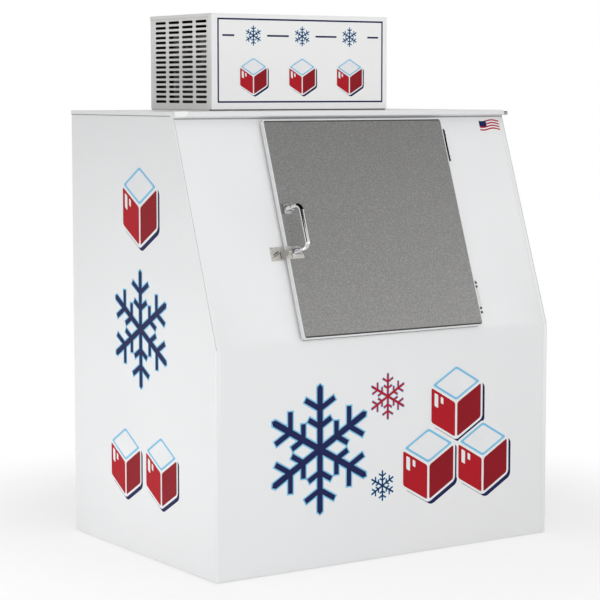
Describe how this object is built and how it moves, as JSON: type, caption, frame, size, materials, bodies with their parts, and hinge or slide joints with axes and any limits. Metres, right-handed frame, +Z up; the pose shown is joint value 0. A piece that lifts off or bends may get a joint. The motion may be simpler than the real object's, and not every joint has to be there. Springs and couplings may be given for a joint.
{
  "type": "ice merchandiser freezer",
  "caption": "Slant-front bagged-ice freezer: insulated white steel cabinet, side-hinged embossed door with a pull handle, roof gutter and a louvred hood over the refrigeration unit.",
  "frame": {"origin": "middle of the base, on the floor", "axes": "+Z up, +Y towards the back, +X to the right when facing the door"},
  "size_m": [1.3092, 0.9344, 1.732],
  "materials": {
    "white_enamel": "smooth baked white enamel",
    "galvanised": "plain galvanised sheet",
    "stucco_sheet": "stucco-embossed galvanised sheet",
    "liner_sheet": "light grey coated sheet",
    "foam": "rigid foam",
    "breaker_plastic": "grey extruded plastic",
    "bright_steel": "polished plated steel",
    "hinge_steel": "brushed plated steel",
    "sign_face": "white sign panel",
    "coil_fins": "thin aluminium fins",
    "grey_paint": "grey paint",
    "black_paint": "black paint",
    "fan_plastic": "black moulded plastic",
    "copper": "copper pipe",
    "rubber": "black rubber",
    "gasket": "grey flexible vinyl",
    "white_plastic": "white plastic"
  },
  "bodies": {
    "cabinet": {"base_runners": "galvanised", "base_pan": "galvanised", "side_panel_left": "white_enamel", "side_panel_right": "white_enamel", "back_panel": "white_enamel", "front_panel": "white_enamel", "roof_cap": "white_enamel", "insulation_floor": "foam", "insulation_left": "foam", "insulation_right": "foam", "insulation_back": "foam", "insulation_roof": "foam", "insulation_front": "foam", "insulation_slope": "foam", "inner_liner": "liner_sheet", "opening_frame": "breaker_plastic", "rain_gutter": "white_enamel", "hinge_base_upper": "hinge_steel", "hinge_base_lower": "hinge_steel", "hinge_pins": "hinge_steel", "lock_keeper": "hinge_steel", "hood_base": "galvanised", "hood_side_left": "white_enamel", "hood_side_right": "white_enamel", "hood_back": "white_enamel", "hood_top": "white_enamel", "sign_tray": "sign_face", "condenser_coil": "coil_fins", "fan_shroud": "galvanised", "condenser_motor": "black_paint", "motor_bracket": "galvanised", "compressor": "black_paint", "compressor_grommets": "rubber", "filter_drier": "copper", "refrigerant_pipes": "copper", "control_box": "grey_paint", "cord_bushing": "rubber", "roof_plug": "foam", "evaporator_housing": "liner_sheet", "evaporator_coil": "coil_fins", "evaporator_motors": "black_paint", "fan_guards": "galvanised", "evaporator_brackets": "galvanised", "drain_pan": "white_plastic", "drain_tube": "white_plastic", "frame_screws": "hinge_steel", "drier_clip": "galvanised"},
    "door": {"door_skin": "stucco_sheet", "door_frame": "white_enamel", "door_insulation": "foam", "door_liner": "liner_sheet", "door_gasket": "gasket", "pull_handle": "bright_steel", "handle_screws": "bright_steel", "lock_strap": "hinge_steel", "hinge_strap_upper": "hinge_steel", "hinge_strap_lower": "hinge_steel"},
    "condenser_fan": {"condenser_fan": "fan_plastic"},
    "evaporator_fan_left": {"evaporator_fan_left": "fan_plastic"},
    "evaporator_fan_right": {"evaporator_fan_right": "fan_plastic"}
  },
  "joints": [
    {"name": "door_hinge", "type": "hinge", "parent": "cabinet", "child": "door", "pos_m": [0.3675, -0.34611, 1.05554], "axis": [0, 0.336, 0.9419], "range_deg": [0, 120]},
    {"name": "condenser_fan_spin", "type": "hinge", "parent": "cabinet", "child": "condenser_fan", "pos_m": [-0.254, 0.213, 1.5455], "axis": [1, 0, 0], "continuous": true},
    {"name": "evaporator_fan_left_spin", "type": "hinge", "parent": "cabinet", "child": "evaporator_fan_left", "pos_m": [-0.15, 0.157, 1.29], "axis": [0, 1, 0], "continuous": true},
    {"name": "evaporator_fan_right_spin", "type": "hinge", "parent": "cabinet", "child": "evaporator_fan_right", "pos_m": [0.15, 0.157, 1.29], "axis": [0, 1, 0], "continuous": true}
  ]
}
